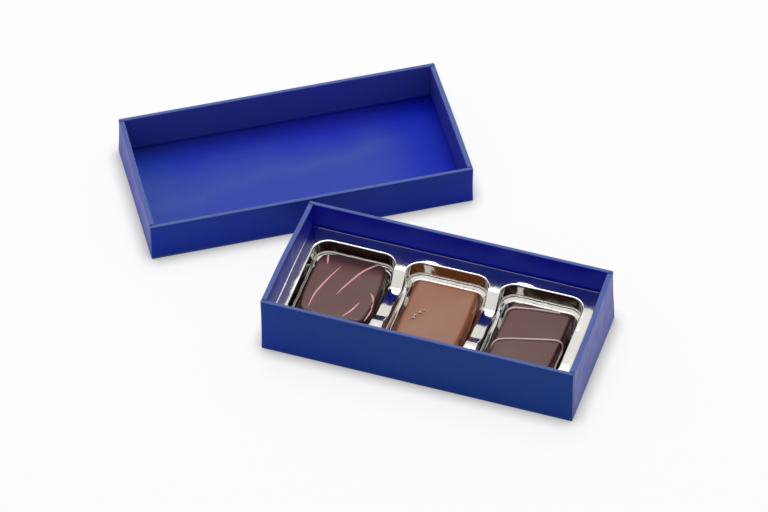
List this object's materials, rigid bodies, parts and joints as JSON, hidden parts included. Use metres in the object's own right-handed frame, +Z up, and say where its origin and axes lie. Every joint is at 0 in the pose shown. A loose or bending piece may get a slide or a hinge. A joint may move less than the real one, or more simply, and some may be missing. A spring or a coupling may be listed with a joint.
{
  "type": "chocolate box",
  "caption": "Small two-part folding carton gift box with a formed insert tray holding a row of chocolates, shown open with its lid lying upside down behind it.",
  "frame": {"origin": "centre of the base tray's flat underside", "axes": "+X along the base tray's long side, +Y towards the lid at the back, +Z up out of the open tray"},
  "size_m": [0.2049, 0.146, 0.025],
  "materials": {
    "blue_board": "satin blue paperboard",
    "carton_glue": "dried carton glue",
    "silver_film": "silver-coated formed plastic film",
    "dark_chocolate": "dark chocolate, soft sheen",
    "milk_chocolate": "milk chocolate, soft sheen",
    "soft_filling": "soft chocolate filling",
    "pink_stripe": "pink cocoa butter",
    "pale_thread": "pale chocolate thread",
    "salt": "salt crystals"
  },
  "bodies": {
    "base": {"base_carton": "blue_board", "base_corner_glue": "carton_glue"},
    "lid": {"lid_carton": "blue_board", "lid_corner_glue": "carton_glue"},
    "insert": {"insert_tray": "silver_film"},
    "dark_praline": {"dark_praline_coating": "dark_chocolate", "dark_praline_filling": "soft_filling", "dark_praline_stripes": "pink_stripe"},
    "milk_praline": {"milk_praline_coating": "milk_chocolate", "milk_praline_filling": "soft_filling", "milk_praline_salt": "salt"},
    "drizzled_praline": {"drizzled_praline_coating": "dark_chocolate", "drizzled_praline_filling": "soft_filling", "drizzled_praline_threads": "pale_thread"}
  },
  "joints": [
    {"name": "lid_lift", "type": "slide", "parent": "base", "child": "lid", "axis": [0, 0, 1], "range_m": [0, 0.06]},
    {"name": "insert_lift", "type": "slide", "parent": "base", "child": "insert", "axis": [0, 0, 1], "range_m": [0, 0.032]},
    {"name": "dark_praline_lift", "type": "slide", "parent": "insert", "child": "dark_praline", "axis": [0, 0, 1], "range_m": [0, 0.03]},
    {"name": "milk_praline_lift", "type": "slide", "parent": "insert", "child": "milk_praline", "axis": [0, 0, 1], "range_m": [0, 0.03]},
    {"name": "drizzled_praline_lift", "type": "slide", "parent": "insert", "child": "drizzled_praline", "axis": [0, 0, 1], "range_m": [0, 0.03]}
  ]
}
